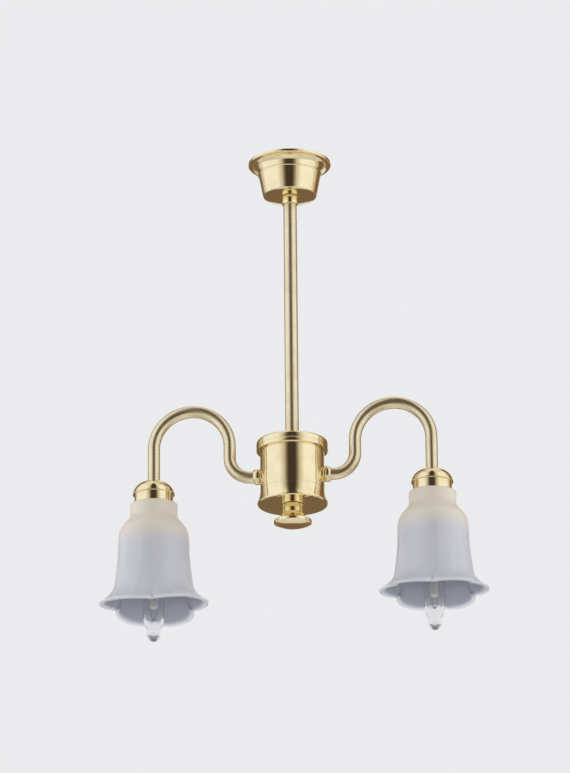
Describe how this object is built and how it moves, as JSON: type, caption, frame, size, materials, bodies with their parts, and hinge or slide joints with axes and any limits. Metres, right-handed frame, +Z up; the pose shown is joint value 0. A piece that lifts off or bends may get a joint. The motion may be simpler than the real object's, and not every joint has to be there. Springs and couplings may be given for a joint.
{
  "type": "miniature chandelier",
  "caption": "Miniature ceiling lamp: brass canopy and rod carry a turned body, arched tube arms and ruffled frosted glass shades around clear bulbs.",
  "frame": {"origin": "centre of the face that meets the ceiling, on the axis of the rod", "axes": "+Z up, along the rod into the ceiling; the arms reach out along +X and -X; +Y is the thin direction, away from the front"},
  "size_m": [0.0572, 0.0154, 0.0742],
  "materials": {
    "brass": "polished",
    "frosted_glass": "frosted",
    "clear_glass": "clear",
    "bead": "gloss",
    "insulator": "matte",
    "pad": "matte foam",
    "solder": "dull",
    "filament": "matte",
    "lead_covering": "matte"
  },
  "bodies": {
    "ceiling_cup": {"canopy": "brass", "ceiling_pad": "pad"},
    "finial": {"finial": "brass"},
    "bulb_right": {"bulb_glass_right": "clear_glass", "bulb_cap_right": "brass", "bulb_contact_right": "solder", "bulb_bead_right": "bead", "filament_right": "filament"},
    "bulb_left": {"bulb_glass_left": "clear_glass", "bulb_cap_left": "brass", "bulb_contact_left": "solder", "bulb_bead_left": "bead", "filament_left": "filament"},
    "lamp": {"arm_ferrule_left": "brass", "arm_ferrule_right": "brass", "arm_lead_a_left": "lead_covering", "arm_lead_a_right": "lead_covering", "arm_lead_b_left": "lead_covering", "arm_lead_b_right": "lead_covering", "arm_left": "brass", "arm_nut_left": "brass", "arm_nut_right": "brass", "arm_right": "brass", "body_barrel": "brass", "body_base": "brass", "body_cap": "brass", "centre_contact_left": "brass", "centre_contact_right": "brass", "down_rod": "brass", "fitter_left": "brass", "fitter_right": "brass", "holder_shell_left": "brass", "holder_shell_right": "brass", "lampholder_left": "insulator", "lampholder_right": "insulator", "lead_bush": "insulator", "rod_collar": "brass", "rod_nut": "brass", "rod_washer": "brass", "shade_left": "frosted_glass", "shade_right": "frosted_glass", "socket_sleeve_left": "brass", "socket_sleeve_right": "brass", "splice_a": "lead_covering", "splice_b": "lead_covering", "supply_lead_a": "lead_covering", "supply_lead_b": "lead_covering"}
  },
  "joints": [
    {"name": "lamp_swivel", "type": "hinge", "parent": "ceiling_cup", "child": "lamp", "pos_m": [0, 0, -0.005], "axis": [0, 0, 1], "range_deg": [-180, 180]},
    {"name": "finial_draw", "type": "slide", "parent": "lamp", "child": "finial", "axis": [0, 0, -1], "range_m": [0, 0.006]},
    {"name": "bulb_right_draw", "type": "slide", "parent": "lamp", "child": "bulb_right", "axis": [0, 0, -1], "range_m": [0, 0.02]},
    {"name": "bulb_left_draw", "type": "slide", "parent": "lamp", "child": "bulb_left", "axis": [0, 0, -1], "range_m": [0, 0.02]}
  ]
}
